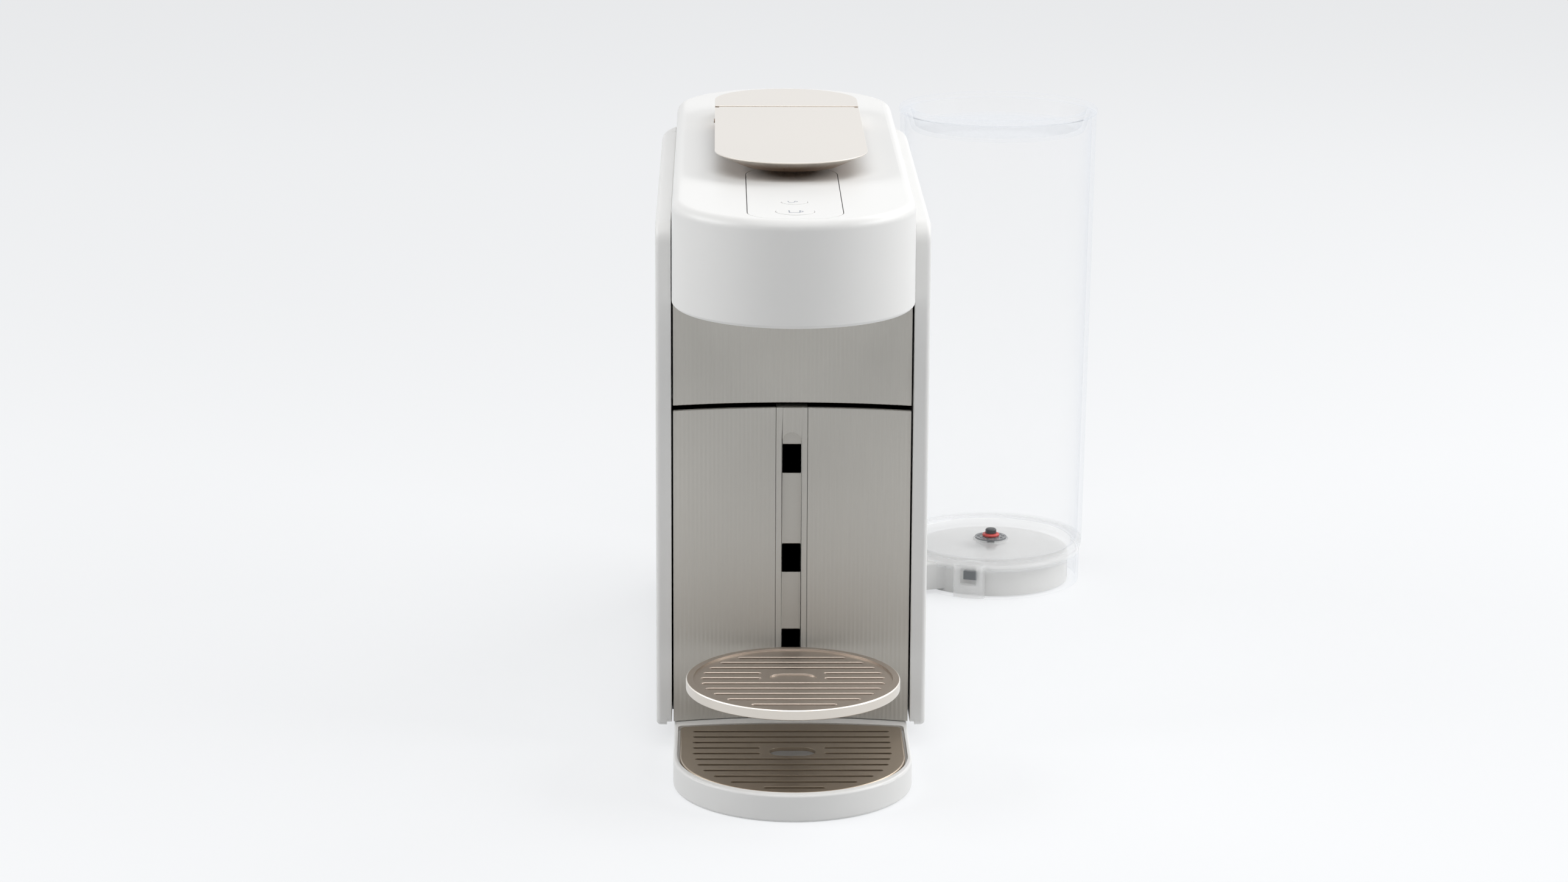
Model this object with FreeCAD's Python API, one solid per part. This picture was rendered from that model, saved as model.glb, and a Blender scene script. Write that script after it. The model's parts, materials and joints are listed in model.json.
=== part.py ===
import FreeCAD, Part
import math
import os

# Pod coffee machine with a swinging water tank, in millimetres.
# Origin: centre of the base on the table. X to the machine's right, Y to its back, Z up.

V = FreeCAD.Vector

# Body: side panels, the cheeks behind them and the base
body_width = 120.0
body_depth = 240.0
panel_bottom = 11.3
panel_drop = 12.6
panel_skin = 4.6
panel_corner = 9.0
panel_foot_corner = 3.0
panel_edge = 2.0
panel_wrap_start = 16.0
panel_wrap_radius = 83.5
panel_wrap_length = 15.0
cheek_wall = 2.2
cheek_rise = 1.3
deck_thickness = 3.8
sole_inset = 6.0
sole_front_inset = 25.0
sole_rear_inset = 26.0
foot_height = 2.0
foot_margin = 3.0
foot_width = 8.0
foot_corner = 10.0

# Head: the long round-ended housing on top
head_overhang = 62.7
head_bottom = 206.3
head_height = 46.3
head_wall = 2.6
head_edge = 4.5
head_lip = 1.2
head_gap = 0.5
floor_recess = 0.4
floor_thickness = 2.4
boss_radius = 4.0
boss_inset = 9.0
boss_angle = 25.0

# Concave ribbed front: upper panel and container front
front_setback = 3.0
front_sag = 6.5
front_wall = 2.4
front_side_gap = 0.8
rib_pitch = 1.88
rib_depth = 0.12
standoff_width = 10.0
standoff_offset = 35.0
standoff_inset = 3.0
upper_height = 48.3
front_split = 2.4
container_lift = 1.25
front_backing = 18.0

# Hook rail set into the container front
rail_width = 13.8
rail_bottom = 30.0
rail_gap = 0.2
rail_wall = 2.2
slot_width = 8.4
slot_drop = 11.4
slot_depth = 1.2
hook_opening = 13.2
hook_high = 138.6
hook_middle = 93.0
hook_low = 53.4

# Used pod bin
bin_inset = 6.2
bin_rear = 26.0
bin_drop = 15.4
bin_wall = 1.8
bin_corner = 6.0

# Cup support that hangs on the rail
disc_inset = 13.5
cup_reach = 46.0
disc_rise = 8.0
disc_height = 4.6
disc_rim = 3.2
disc_floor_drop = 0.8
disc_ease = 0.4
disc_floor = 1.8
disc_row_count = 10
disc_rear_row_count = 4
disc_row_margin = 6.5
disc_end_margin = 4.35
disc_row_offset = 2.0
dish_offset = 3.0
dish_depth = 0.6
disc_slot = 2.5
bracket_width = 7.6
bracket_depth = 6.5
bracket_lip = 4.0
bracket_lip_thickness = 3.0
bracket_reach = 30.0

# Drip tray and its grid
tray_inset = 8.0
tray_height = 12.2
tray_tuck = 22.0
tray_wall = 1.7
tray_floor = 1.8
tray_ledge = 2.0
tray_edge = 1.2
tray_foot_edge = 1.5
tray_corner = 2.5
grid_thickness = 1.6
grid_gap = 1.0
grid_edge = 0.9
grid_rear_gap = 0.2
grid_drop = 0.3
grid_shift = 2.4
grid_rear_margin = 5.4
grid_sag = 4.5
grid_row_count = 11
grid_row_margin = 5.7
grid_arc_margin = 6.7
grid_first_margin = 6.9
grid_last_margin = 2.1
grid_slot = 2.4
finger_rear_row_count = 4
finger_shift = 2.5
split_half = 13.9
finger_length = 20.2
finger_width = 11.4

# Keys on the head
key_panel_half = 20.6
key_panel_setback = 5.1
key_panel_corner = 14.8
key_panel_gap = 0.4
key_panel_flange = 1.6
key_panel_flange_depth = 1.6
large_key_radius = 8.4
large_key_setback = 17.2
small_key_radius = 5.8
key_spacing = 21.9
lens_radius = 4.3
lens_y = -71.0
key_gap = 0.3
key_side_gap = 0.2
key_proud = 0.15
key_flange = 1.2
key_travel = 0.8
board_thickness = 1.6
board_inset = 4.0
post_radius = 2.0
post_inset = 8.0

# Lid, its hinge and the fixed cap behind it
lid_half = 34.2
lid_front_centre = -61.0
lid_rise = 9.4
lid_rim = 0.5
lid_bevel_height = 5.5
lid_bevel_run = 12.0
hinge_y = 58.4
hinge_rise = 3.0
knuckle_inset = 2.0
knuckle_crown = 0.47
pin_radius = 1.0
pin_fit = 0.04
pin_inner = 16.0
pin_proud = 0.5
ear_inner = 20.0
ear_width = 6.0
ear_radius = 3.6
ear_gap = 0.4
bracket_plate = 3.0
bracket_pad = 4.5
cap_gap = 0.4
cap_brow_reach = 5.2
cap_brow_rise = 0.6
cap_rear_centre = 83.0
cap_bevel_height = 8.2
cap_bevel_run = 4.0

# Brewing unit under the lid
well_radius = 33.5
plug_radius = 30.0
plug_drop = 5.0
plug_ease = 1.6
needle_radius = 1.5
needle_length = 4.0
chamber_radius = 42.0
chamber_wall = 2.0
chamber_flange = 44.0
chamber_depth = 50.0
holder_mouth = 30.8
holder_bottom_radius = 24.0
holder_wall = 2.0
holder_flange = 36.0
holder_drop = 2.5
holder_depth = 34.5
shaft_radius = 3.0
shaft_fit = 0.05
shaft_hub = 7.5
shaft_gap = 2.0
motor_radius = 21.0
motor_height = 34.0
motor_floor = 1.6
shelf_thickness = 3.0
bulkhead_front = 30.0
bulkhead_thickness = 3.0
bulkhead_drop = 10.3
duct_half = 7.0
duct_wall = 1.4
duct_height = 9.0
duct_rise = 6.0
outlet_radius = 8.0
outlet_bore = 4.6
outlet_taper = 1.2
outlet_drop = 1.2
outlet_flange = 11.0

# Pieces behind the bulkhead
pump_x = -24.0
pump_y = 85.0
pump_radius = 14.0
pump_waist = 9.8
pump_foot = 5.6
pump_step = 2.8
pump_waist_height = 11.2
pump_barrel = 37.8
pump_neck = 7.0
pump_spout = 11.2
coil_half = 16.8
coil_rise = 33.6
coil_height = 16.8
heater_x = 24.0
heater_y = 62.0
heater_radius = 16.0
heater_height = 84.0
heater_flange = 3.2
hose_radius = 3.0
hose_wall = 1.0
hose_bend = 18.0
hose_crest = 27.0
board_half = 40.0
board_bottom = 60.0
board_height = 90.0
spacer_height = 3.0
spacer_inset = 6.0
relay_size = 16.0
relay_height = 9.6
relay_drop = 12.8
relay_first = -24.0
relay_second = -2.0

# Rear cover
rear_wall = 2.4
gland_angle = 140.0
gland_z = 28.0
gland_radius = 5.4
gland_bore = 3.4
gland_flange = 7.6
gland_depth = 6.0
gland_length = 9.6

# Water tank and the arm that carries it
pivot_radius = 12.0
pivot_fit = 0.06
pivot_foot_radius = 17.0
hub_radius = 23.0
arm_reach = 114.0
arm_angle = 72.0
arm_width = 43.0
arm_root = 64.0
swing_gap = 0.4
puck_radius = 39.8
puck_top = 16.5
puck_edge = 1.5
glide_height = 0.8
glide_radius = 5.0
glide_ring = 28.0
glide_count = 3
valve_pocket_radius = 4.0
valve_pocket_depth = 7.0
tank_seat_gap = 0.4
tank_bottom_radius = 46.4
tank_top_radius = 49.5
tank_top = 243.0
tank_wall = 2.2
tank_floor = 3.2
tank_floor_round = 4.0
skirt_clearance = 0.6
skirt_wall = 1.4
skirt_inset = 1.0
base_round = 4.0
base_round_steps = 3
gate_gap = 2.0
lug_width = 15.0
lug_height = 10.6
lug_thickness = 1.2
lug_angle = -111.0
lug_count = 4
catch_width = 6.8
catch_height = 4.4
catch_reach = 2.0
catch_turn = 2.7
lid_lip_overhang = 0.5
lid_lip_height = 2.6
lid_recess_depth = 9.6
lid_recess_inset = 5.9
lid_sheet = 1.8
lid_seat_gap = 0.4
valve_boss_radius = 9.0
valve_boss_height = 0.8
valve_ring_radius = 8.1
valve_ring_height = 0.8
valve_hole_count = 10
valve_seal_radius = 4.4
valve_seal_height = 1.6
plunger_radius = 2.8
plunger_height = 2.2
stem_radius = 1.6
stem_gap = 0.4
stem_recess = 0.2
plunger_gap = 0.3

# Shared clearances
slide_gap = 0.4
rest_gap = 0.2

# Places worked out from the sizes above
inner_half = body_width / 2 - panel_skin - cheek_wall
front_face = -body_depth / 2
rear_face = body_depth / 2
deck_bottom = panel_bottom
deck_top = deck_bottom + deck_thickness
sole_front = front_face + sole_front_inset
sole_rear = rear_face - sole_rear_inset
head_radius = inner_half - head_gap
head_length = body_depth + 2 * head_overhang
head_centre = head_length / 2 - head_radius
head_top = head_bottom + head_height
panel_top = head_top - panel_drop
head_inner = head_radius - head_wall
ceiling = head_top - head_wall
front_half = inner_half - front_side_gap
front_edge_y = front_face + front_setback
front_centre_y = front_edge_y + front_sag
front_curve = (front_half ** 2 + front_sag ** 2) / (2 * front_sag)
backing_y = front_face + front_backing
upper_bottom = head_bottom - rest_gap - upper_height
container_bottom = panel_bottom + container_lift
container_top = upper_bottom - front_split
slot_top = container_top - slot_drop
bin_half_width = inner_half - bin_inset
bin_bottom = deck_top + slide_gap
bin_top = container_top - bin_drop
bin_front = backing_y
key_panel_front = key_panel_setback - head_length / 2
large_key_y = key_panel_front + large_key_setback
small_key_y = large_key_y + key_spacing
lid_top = head_top + lid_rise
hinge_z = head_top + hinge_rise
knuckle_radius = lid_top - hinge_z + knuckle_crown
lid_underside = lid_top - lid_rim - lid_bevel_height
hook_floor = hook_low - hook_opening
disc_top = hook_floor + disc_rise
disc_radius = body_width / 2 - disc_inset
disc_centre_y = front_face - cup_reach
tray_radius = body_width / 2 - tray_inset
tray_rear = front_face + tray_tuck
grid_centre_y = disc_centre_y + grid_shift
shelf_bottom = upper_bottom - slide_gap
shelf_top = shelf_bottom + shelf_thickness
bulkhead_top = head_bottom - bulkhead_drop
chamber_floor = ceiling - chamber_depth
holder_top = ceiling - holder_drop
holder_bottom = holder_top - holder_depth
pivot_y = head_centre
arm_top = deck_bottom - swing_gap
arm_bottom = foot_height + swing_gap
puck_x = arm_reach * math.sin(math.radians(arm_angle))
puck_y = pivot_y + arm_reach * math.cos(math.radians(arm_angle))
lid_lip_radius = tank_top_radius + lid_lip_overhang
lid_recess_radius = tank_top_radius - lid_recess_inset
tank_floor_bottom = puck_top + tank_seat_gap
tank_floor_top = tank_floor_bottom + tank_floor


# Plain solids
def box(x0, x1, y0, y1, z0, z1):
    return Part.makeBox(x1 - x0, y1 - y0, z1 - z0, V(x0, y0, z0))


def rod(radius, z0, z1, x=0.0, y=0.0):
    return Part.makeCylinder(radius, z1 - z0, V(x, y, z0))


def rod_x(radius, x0, x1, y, z):
    return Part.makeCylinder(radius, x1 - x0, V(x0, y, z), V(1, 0, 0))


def ring(outer, inner, z0, z1, x=0.0, y=0.0):
    return rod(outer, z0, z1, x, y).cut(rod(inner, z0, z1, x, y))


def line(a, b):
    return Part.LineSegment(a, b).toShape()


def arc(a, middle, b):
    return Part.Arc(a, middle, b).toShape()


def prism(edges, z0, z1):
    outline = Part.Face(Part.Wire(edges))
    outline.translate(V(0, 0, z0))
    return outline.extrude(V(0, 0, z1 - z0))


def turned(points, x=0.0, y=0.0):
    corners = [V(x + radius, y, z) for radius, z in points]
    outline = Part.Face(Part.makePolygon(corners + corners[:1]))
    return outline.revolve(V(x, y, 0), V(0, 0, 1), 360)


def obround_edges(half_width, front_centre, rear_centre, z):
    left_front = V(-half_width, front_centre, z)
    right_front = V(half_width, front_centre, z)
    left_rear = V(-half_width, rear_centre, z)
    right_rear = V(half_width, rear_centre, z)
    return [
        arc(left_front, V(0, front_centre - half_width, z), right_front),
        line(right_front, right_rear),
        arc(right_rear, V(0, rear_centre + half_width, z), left_rear),
        line(left_rear, left_front),
    ]


def obround(half_width, front_centre, rear_centre, z0, z1):
    return prism(obround_edges(half_width, front_centre, rear_centre, 0), z0, z1)


def slot_along_x(x0, x1, y, width, z0, z1):
    half = width / 2
    ends = rod(half, z0, z1, x0 + half, y).fuse(rod(half, z0, z1, x1 - half, y))
    return ends.fuse(box(x0 + half, x1 - half, y - half, y + half, z0, z1)).removeSplitter()


def rounded_box(x0, x1, y0, y1, corner, z0, z1):
    block = box(x0, x1, y0, y1, z0, z1)
    return block.makeFillet(corner, upright_edges(block))


# Edge pickers for fillets
def upright_edges(shape):
    return [e for e in shape.Edges if abs(e.tangentAt(e.FirstParameter).z) > 0.99]


def edges_at_height(shape, z):
    return [e for e in shape.Edges if flat_at(e.BoundBox.ZMin, z) and flat_at(e.BoundBox.ZMax, z)]


def edges_at_side(shape, x):
    return [e for e in shape.Edges if flat_at(e.BoundBox.XMin, x) and flat_at(e.BoundBox.XMax, x)]


def flat_at(value, target):
    return abs(value - target) < 1e-4


def front_edges(shape, z):
    return [e for e in edges_at_height(shape, z) if flat_at(e.BoundBox.YMax, shape.BoundBox.YMin)]


def save(name, shape):
    shape.exportStep("parts/%s.step" % name)


# Base, feet, panels and cheeks
def rear_outline(z0, z1, radius):
    whole = obround(radius, -head_centre, head_centre, z0, z1)
    behind = box(-body_width, body_width, rear_face, head_length, z0, z1)
    return whole.common(behind)


def base_plate():
    sole_half = inner_half - sole_inset
    sole = rounded_box(-sole_half, sole_half, sole_front, sole_rear, sole_inset, foot_height, deck_bottom)
    deck = box(-inner_half, inner_half, sole_front, rear_face, deck_bottom, deck_top)
    tail = rear_outline(deck_bottom, deck_top, head_radius)
    post = rod(pivot_radius, foot_height, deck_bottom, 0, pivot_y)
    return sole.fuse([deck, tail, post]).removeSplitter()


def foot_ring():
    half = inner_half - sole_inset - foot_margin
    front = sole_front + foot_margin
    rear = sole_rear - foot_margin
    outer = rounded_box(-half, half, front, rear, foot_corner, 0, foot_height)
    half -= foot_width
    front += foot_width
    rear -= foot_width
    return outer.cut(rounded_box(-half, half, front, rear, foot_corner / 2, 0, foot_height))


def side_plate(inside, outside, front, rear, bottom, top):
    plate = box(inside, outside, front, rear, bottom, top)
    plate = plate.makeFillet(panel_corner, front_edges(plate, top))
    return plate.makeFillet(panel_foot_corner, front_edges(plate, bottom))


def right_panel():
    inside = inner_half + cheek_wall
    outside = body_width / 2
    wrap_rear = rear_face + panel_wrap_length
    plate = side_plate(inside, outside, front_face, wrap_rear, panel_bottom, panel_top)
    plate = plate.makeFillet(panel_edge, edges_at_side(plate, outside))
    tail = box(inner_half, inside, rear_face, wrap_rear, panel_bottom, panel_top)
    bend_x = outside - panel_wrap_radius
    bend_y = rear_face - panel_wrap_start
    far = panel_wrap_radius * 2
    beyond = ring(far, panel_wrap_radius, panel_bottom, panel_top, bend_x, bend_y)
    beyond = beyond.common(box(0, far, bend_y, bend_y + far, panel_bottom, panel_top))
    return plate.fuse(tail).cut(beyond).removeSplitter()


def right_cheek():
    bottom = panel_bottom + cheek_rise
    return side_plate(inner_half, inner_half + cheek_wall, front_face, rear_face, bottom, panel_top)


def mirrored(shape):
    return shape.mirror(V(0, 0, 0), V(1, 0, 0))


def rear_cover():
    shell = rear_outline(deck_top, head_bottom, head_radius)
    shell = shell.cut(rear_outline(deck_top, head_bottom, head_radius - rear_wall))
    return shell.cut(gland_rod(gland_radius, 0, head_radius * 2))


def gland_rod(radius, start, length):
    angle = math.radians(gland_angle)
    out = V(math.cos(angle), math.sin(angle), 0)
    place = V(0, head_centre, gland_z) + out * start
    return Part.makeCylinder(radius, length, place, out)


def cord_gland():
    inside = head_radius - gland_depth
    collar = gland_rod(gland_radius, inside, gland_length)
    flange = gland_rod(gland_flange, inside, rear_wall)
    return collar.fuse(flange).cut(gland_rod(gland_bore, inside, gland_length)).removeSplitter()


# Ribbed front pieces
def front_y(x, depth):
    return front_centre_y - front_curve + math.sqrt((front_curve + depth) ** 2 - x ** 2)


def ribbed_line(x0, x1):
    quarter = rib_pitch / 4
    points = [V(x0, front_y(x0, 0), 0)]
    for step in range(math.floor(x0 / quarter), math.ceil(x1 / quarter) + 2):
        x = (step - 0.5) * quarter
        if x0 + quarter / 2 < x < x1 - quarter / 2:
            low = step % 4 > 1
            points.append(V(x, front_y(x, rib_depth if low else 0), 0))
    points.append(V(x1, front_y(x1, 0), 0))
    return points


def ribbed_plate(z0, z1):
    points = ribbed_line(-front_half, front_half)
    edges = [line(a, b) for a, b in zip(points, points[1:])]
    left = V(-front_half, front_y(front_half, front_wall), 0)
    right = V(front_half, front_y(front_half, front_wall), 0)
    edges.append(line(points[-1], right))
    edges.append(arc(right, V(0, front_y(0, front_wall), 0), left))
    edges.append(line(left, points[0]))
    plate = prism(edges, z0, z1)
    for side in (-1, 1):
        inner = side * standoff_offset - standoff_width / 2
        web_front = front_y(standoff_offset - standoff_width / 2, front_wall / 2)
        low = z0 + standoff_inset
        high = z1 - standoff_inset
        plate = plate.fuse(box(inner, inner + standoff_width, web_front, backing_y, low, high))
    return plate.removeSplitter()


def upper_front():
    return ribbed_plate(upper_bottom, head_bottom - rest_gap)


def container_front():
    gap = rail_width / 2 + rail_gap
    notch = box(-gap, gap, front_edge_y, backing_y, rail_bottom - rail_gap, container_top)
    return ribbed_plate(container_bottom, container_top).cut(notch)


def hook_rail():
    half = rail_width / 2
    points = ribbed_line(-half, half)
    corners = points + [V(half, backing_y, 0), V(-half, backing_y, 0)]
    edges = [line(a, b) for a, b in zip(corners, corners[1:] + corners[:1])]
    rail = prism(edges, rail_bottom, container_top)
    face = front_y(0, 0)
    hollow_half = half - rail_wall
    hollow_top = slot_top - rail_wall
    hollow = box(-hollow_half, hollow_half, face + rail_wall, backing_y, rail_bottom + rail_wall, hollow_top)
    rail = rail.cut(hollow)
    slot_half = slot_width / 2
    recess_face = face - front_sag
    recess = box(-slot_half, slot_half, recess_face, face + slot_depth, hook_floor, slot_top - slot_half)
    round_end = Part.makeCylinder(
        slot_half, face + slot_depth - recess_face, V(0, recess_face, slot_top - slot_half), V(0, 1, 0)
    )
    rail = rail.cut(recess.fuse(round_end))
    for top in (hook_high, hook_middle, hook_low):
        rail = rail.cut(box(-slot_half, slot_half, face, face + rail_wall, top - hook_opening, top))
    return rail.removeSplitter()


def container_bin():
    outer = rounded_box(-bin_half_width, bin_half_width, bin_front, bin_rear, bin_corner, bin_bottom, bin_top)
    half = bin_half_width - bin_wall
    floor = bin_bottom + bin_wall
    inner_corner = bin_corner - bin_wall
    inner = rounded_box(
        -half, half, bin_front + bin_wall, bin_rear - bin_wall, inner_corner, floor, bin_top
    )
    return outer.cut(inner)


# Cup support
def slot_row(half_length, y, width, z0, z1, finger_y):
    if abs(y - finger_y) > (finger_width + width) / 2:
        return [slot_along_x(-half_length, half_length, y, width, z0, z1)]
    left = slot_along_x(-half_length, -split_half, y, width, z0, z1)
    return [left, slot_along_x(split_half, half_length, y, width, z0, z1)]


def finger_slot(y, z0, z1):
    return slot_along_x(-finger_length / 2, finger_length / 2, y, finger_width, z0, z1)


def cup_disc():
    floor_top = disc_top - disc_floor_drop
    floor_bottom = floor_top - disc_floor
    bottom = disc_top - disc_height
    ease = disc_ease
    wall = disc_radius - disc_rim
    disc = turned(
        [
            (0, floor_bottom),
            (wall, floor_bottom),
            (wall + ease, bottom),
            (disc_radius - ease, bottom),
            (disc_radius, bottom + ease),
            (disc_radius, disc_top - ease),
            (disc_radius - ease, disc_top),
            (wall, disc_top),
            (wall, floor_top),
            (0, floor_top),
        ],
        0,
        disc_centre_y,
    )
    row_radius = disc_radius - disc_row_margin
    front_row_count = disc_row_count - 1 - disc_rear_row_count
    pitch = (row_radius + disc_row_offset - disc_end_margin) / front_row_count
    dish_y = disc_centre_y + dish_offset
    cuts = [finger_slot(dish_y, floor_top - dish_depth, disc_top)]
    for row in range(disc_row_count):
        rise = disc_row_offset + (disc_rear_row_count - row) * pitch
        half_length = math.sqrt(row_radius ** 2 - rise ** 2)
        cuts += slot_row(half_length, disc_centre_y + rise, disc_slot, bottom, disc_top, dish_y)
    return disc.cut(cuts)


def cup_bracket():
    half = bracket_width / 2
    bottom = hook_floor + rest_gap
    face = front_y(0, 0)
    under_disc = disc_top - disc_floor_drop - disc_floor
    behind = face + rail_wall + slide_gap
    neck_front = disc_centre_y + disc_radius - disc_rim - bracket_reach
    shelf_rear = disc_centre_y + disc_radius - disc_rim - slide_gap
    shelf = box(-half, half, neck_front, shelf_rear, bottom, under_disc)
    rim_bottom = disc_top - disc_height
    neck_top = rim_bottom - rest_gap
    neck = box(-half, half, neck_front, behind + bracket_lip_thickness, bottom, neck_top)
    lip_bottom = bottom - bracket_lip
    lip = box(-half, half, behind, behind + bracket_lip_thickness, lip_bottom, bottom + bracket_depth)
    return shelf.fuse([neck, lip]).removeSplitter()


# Drip tray and grid
def tray_shape(radius, rear_edge, z0, z1):
    left = V(-radius, grid_centre_y, 0)
    right = V(radius, grid_centre_y, 0)
    left_rear = V(-radius, rear_edge, 0)
    right_rear = V(radius, rear_edge, 0)
    edges = [
        arc(left, V(0, grid_centre_y - radius, 0), right),
        line(right, right_rear),
        arc(right_rear, V(0, rear_edge + grid_sag, 0), left_rear),
        line(left_rear, left),
    ]
    block = prism(edges, z0, z1)
    corners = [e for e in upright_edges(block) if e.BoundBox.YMin > grid_centre_y + tray_corner]
    return block.makeFillet(tray_corner, corners)


def drip_tray():
    front = rod(tray_radius, 0, tray_height, 0, disc_centre_y)
    rear = box(-tray_radius, tray_radius, disc_centre_y, tray_rear, 0, tray_height)
    tub = front.fuse(rear).removeSplitter()
    tub = tub.makeFillet(tray_edge, edges_at_height(tub, tray_height))
    tub = tub.makeFillet(tray_foot_edge, edges_at_height(tub, 0))
    pocket_radius = tray_radius - tray_wall
    ledge = tray_height - grid_drop - grid_thickness - rest_gap
    pocket_rear = front_edge_y - grid_rear_margin
    pocket = tray_shape(pocket_radius, pocket_rear, ledge, tray_height)
    well = tray_shape(pocket_radius - tray_ledge, pocket_rear - tray_ledge, tray_floor, ledge)
    return tub.cut(pocket.fuse(well))


def drip_grid():
    top = tray_height - grid_drop
    bottom = top - grid_thickness
    radius = tray_radius - tray_wall - grid_gap
    rear_edge = front_edge_y - grid_rear_margin - grid_rear_gap
    plate = tray_shape(radius, rear_edge, bottom, top)
    plate = plate.makeFillet(grid_edge, edges_at_height(plate, top))
    arc_radius = radius - grid_arc_margin
    first_y = rear_edge - grid_first_margin
    last_y = disc_centre_y - arc_radius + grid_last_margin
    pitch = (first_y - last_y) / (grid_row_count - 1)
    finger_y = first_y - finger_rear_row_count * pitch + finger_shift
    cuts = [finger_slot(finger_y, bottom, top)]
    for row in range(grid_row_count):
        y = first_y - row * pitch
        half_length = radius - grid_row_margin
        if y < disc_centre_y:
            half_length = min(half_length, math.sqrt(arc_radius ** 2 - (y - disc_centre_y) ** 2))
        cuts += slot_row(half_length, y, grid_slot, bottom, top, finger_y)
    return plate.cut(cuts)


# Head, its floor and its keys
def head_bosses():
    reach = head_inner - boss_inset
    angle = math.radians(boss_angle)
    front = (reach * math.cos(angle), -head_centre - reach * math.sin(angle))
    rear = (reach, backing_y - boss_inset)
    low = head_bottom + floor_recess + floor_thickness
    return [rod(boss_radius, low, ceiling, side * x, y) for side in (-1, 1) for x, y in (front, rear)]


def head_housing():
    shell = obround(head_radius, -head_centre, head_centre, head_bottom, head_top)
    shell = shell.makeFillet(head_edge, edges_at_height(shell, head_top))
    shell = shell.makeChamfer(head_lip, edges_at_height(shell, head_bottom))
    shell = shell.cut(obround(head_inner, -head_centre, head_centre, head_bottom, ceiling))
    shell = shell.fuse(head_bosses())
    keys = key_panel_outline(0, ceiling, head_top)
    well = rod(well_radius, ceiling, head_top)
    reach = lid_half - knuckle_inset + ear_gap
    room = knuckle_radius + ear_gap
    hinge_slot = box(-reach, reach, hinge_y - room, hinge_y + room, ceiling, head_top)
    return shell.cut([keys, well, hinge_slot]).removeSplitter()


def head_floor():
    z0 = head_bottom + floor_recess
    z1 = z0 + floor_thickness
    plate = obround(head_inner - rest_gap, -head_centre, head_centre, z0, z1)
    plate = plate.common(box(-body_width, body_width, -head_length, backing_y, z0, z1))
    return plate.cut(rod(outlet_radius + rest_gap, z0, z1, 0, disc_centre_y))


def coffee_outlet():
    seat = head_bottom + floor_recess + floor_thickness
    tip = head_bottom - outlet_drop
    return turned(
        [
            (outlet_bore, tip),
            (outlet_radius - outlet_taper, tip),
            (outlet_radius, head_bottom),
            (outlet_radius, seat),
            (outlet_flange, seat),
            (outlet_flange, seat + duct_wall),
            (outlet_bore, seat + duct_wall),
        ],
        0,
        disc_centre_y,
    )


def duct_low():
    return head_bottom + floor_recess + floor_thickness + duct_wall


def coffee_duct():
    low = duct_low()
    front = disc_centre_y - outlet_flange
    knee = disc_centre_y + outlet_flange
    rear = -chamber_radius - rest_gap
    high = low + duct_rise

    def channel(inset, half):
        points = [
            V(-half, front + inset, low + inset),
            V(-half, knee, low + inset),
            V(-half, rear, high + inset),
            V(-half, rear, high + duct_height - inset),
            V(-half, knee, low + duct_height - inset),
            V(-half, front + inset, low + duct_height - inset),
        ]
        return Part.Face(Part.makePolygon(points + points[:1])).extrude(V(2 * half, 0, 0))

    duct = channel(0, duct_half).cut(channel(duct_wall, duct_half - duct_wall))
    return duct.cut(rod(outlet_bore, low, low + duct_height / 2, 0, disc_centre_y))


def key_panel_outline(spread, z0, z1):
    half = key_panel_half + spread
    front = key_panel_front - spread
    block = box(-half, half, front, lens_y, z0, z1)
    corners = [e for e in upright_edges(block) if flat_at(e.BoundBox.YMin, front)]
    block = block.makeFillet(key_panel_corner + spread, corners)
    return block.fuse(rod(half, z0, z1, 0, lens_y)).removeSplitter()


def key_spots():
    return ((large_key_radius, large_key_y), (small_key_radius, small_key_y), (lens_radius, lens_y))


def button_panel():
    underside = ceiling - key_panel_flange_depth
    plate = key_panel_outline(-key_panel_gap, underside, head_top)
    flange = key_panel_outline(key_panel_flange, underside, ceiling)
    board_top = underside - key_flange - key_gap - key_travel - key_gap
    posts = [rod(post_radius, board_top, underside, x, y) for x, y in key_posts()]
    panel = plate.fuse([flange] + posts).removeSplitter()
    return panel.cut([rod(r, underside, head_top, 0, y) for r, y in key_spots()])


def key_posts():
    x = key_panel_half - post_inset
    front = large_key_y + large_key_radius / 2
    rear = small_key_y + small_key_radius * 2
    return [(side * x, y) for side in (-1, 1) for y in (front, rear)]


def key_board():
    underside = ceiling - key_panel_flange_depth
    top = underside - key_flange - key_gap - key_travel - key_gap
    half = key_panel_half - board_inset
    margin = post_radius * 2
    front = large_key_y - large_key_radius
    rear = small_key_y + small_key_radius * 2 + margin
    return rounded_box(-half, half, front, rear, post_radius, top - board_thickness, top)


def push_key(radius, y):
    underside = ceiling - key_panel_flange_depth
    flange_top = underside - key_gap
    cap = rod(radius - key_side_gap, flange_top, head_top + key_proud, 0, y)
    cap = cap.makeFillet(key_proud, edges_at_height(cap, head_top + key_proud))
    flange = rod(radius + key_flange, flange_top - key_flange, flange_top, 0, y)
    return cap.fuse(flange).removeSplitter()


def indicator_lens():
    underside = ceiling - key_panel_flange_depth
    flange = rod(lens_radius + key_flange, underside - key_flange, underside, 0, lens_y)
    return rod(lens_radius - key_gap / 2, underside, head_top, 0, lens_y).fuse(flange).removeSplitter()


# Lid, hinge and rear cap
def hull_edges(half, rear, z):
    front_left = V(-half, lid_front_centre, z)
    front_right = V(half, lid_front_centre, z)
    rear_left = V(-half, rear, z)
    rear_right = V(half, rear, z)
    return [
        arc(front_left, V(0, lid_front_centre - half, z), front_right),
        line(front_right, rear_right),
        line(rear_right, rear_left),
        line(rear_left, front_left),
    ]


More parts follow.
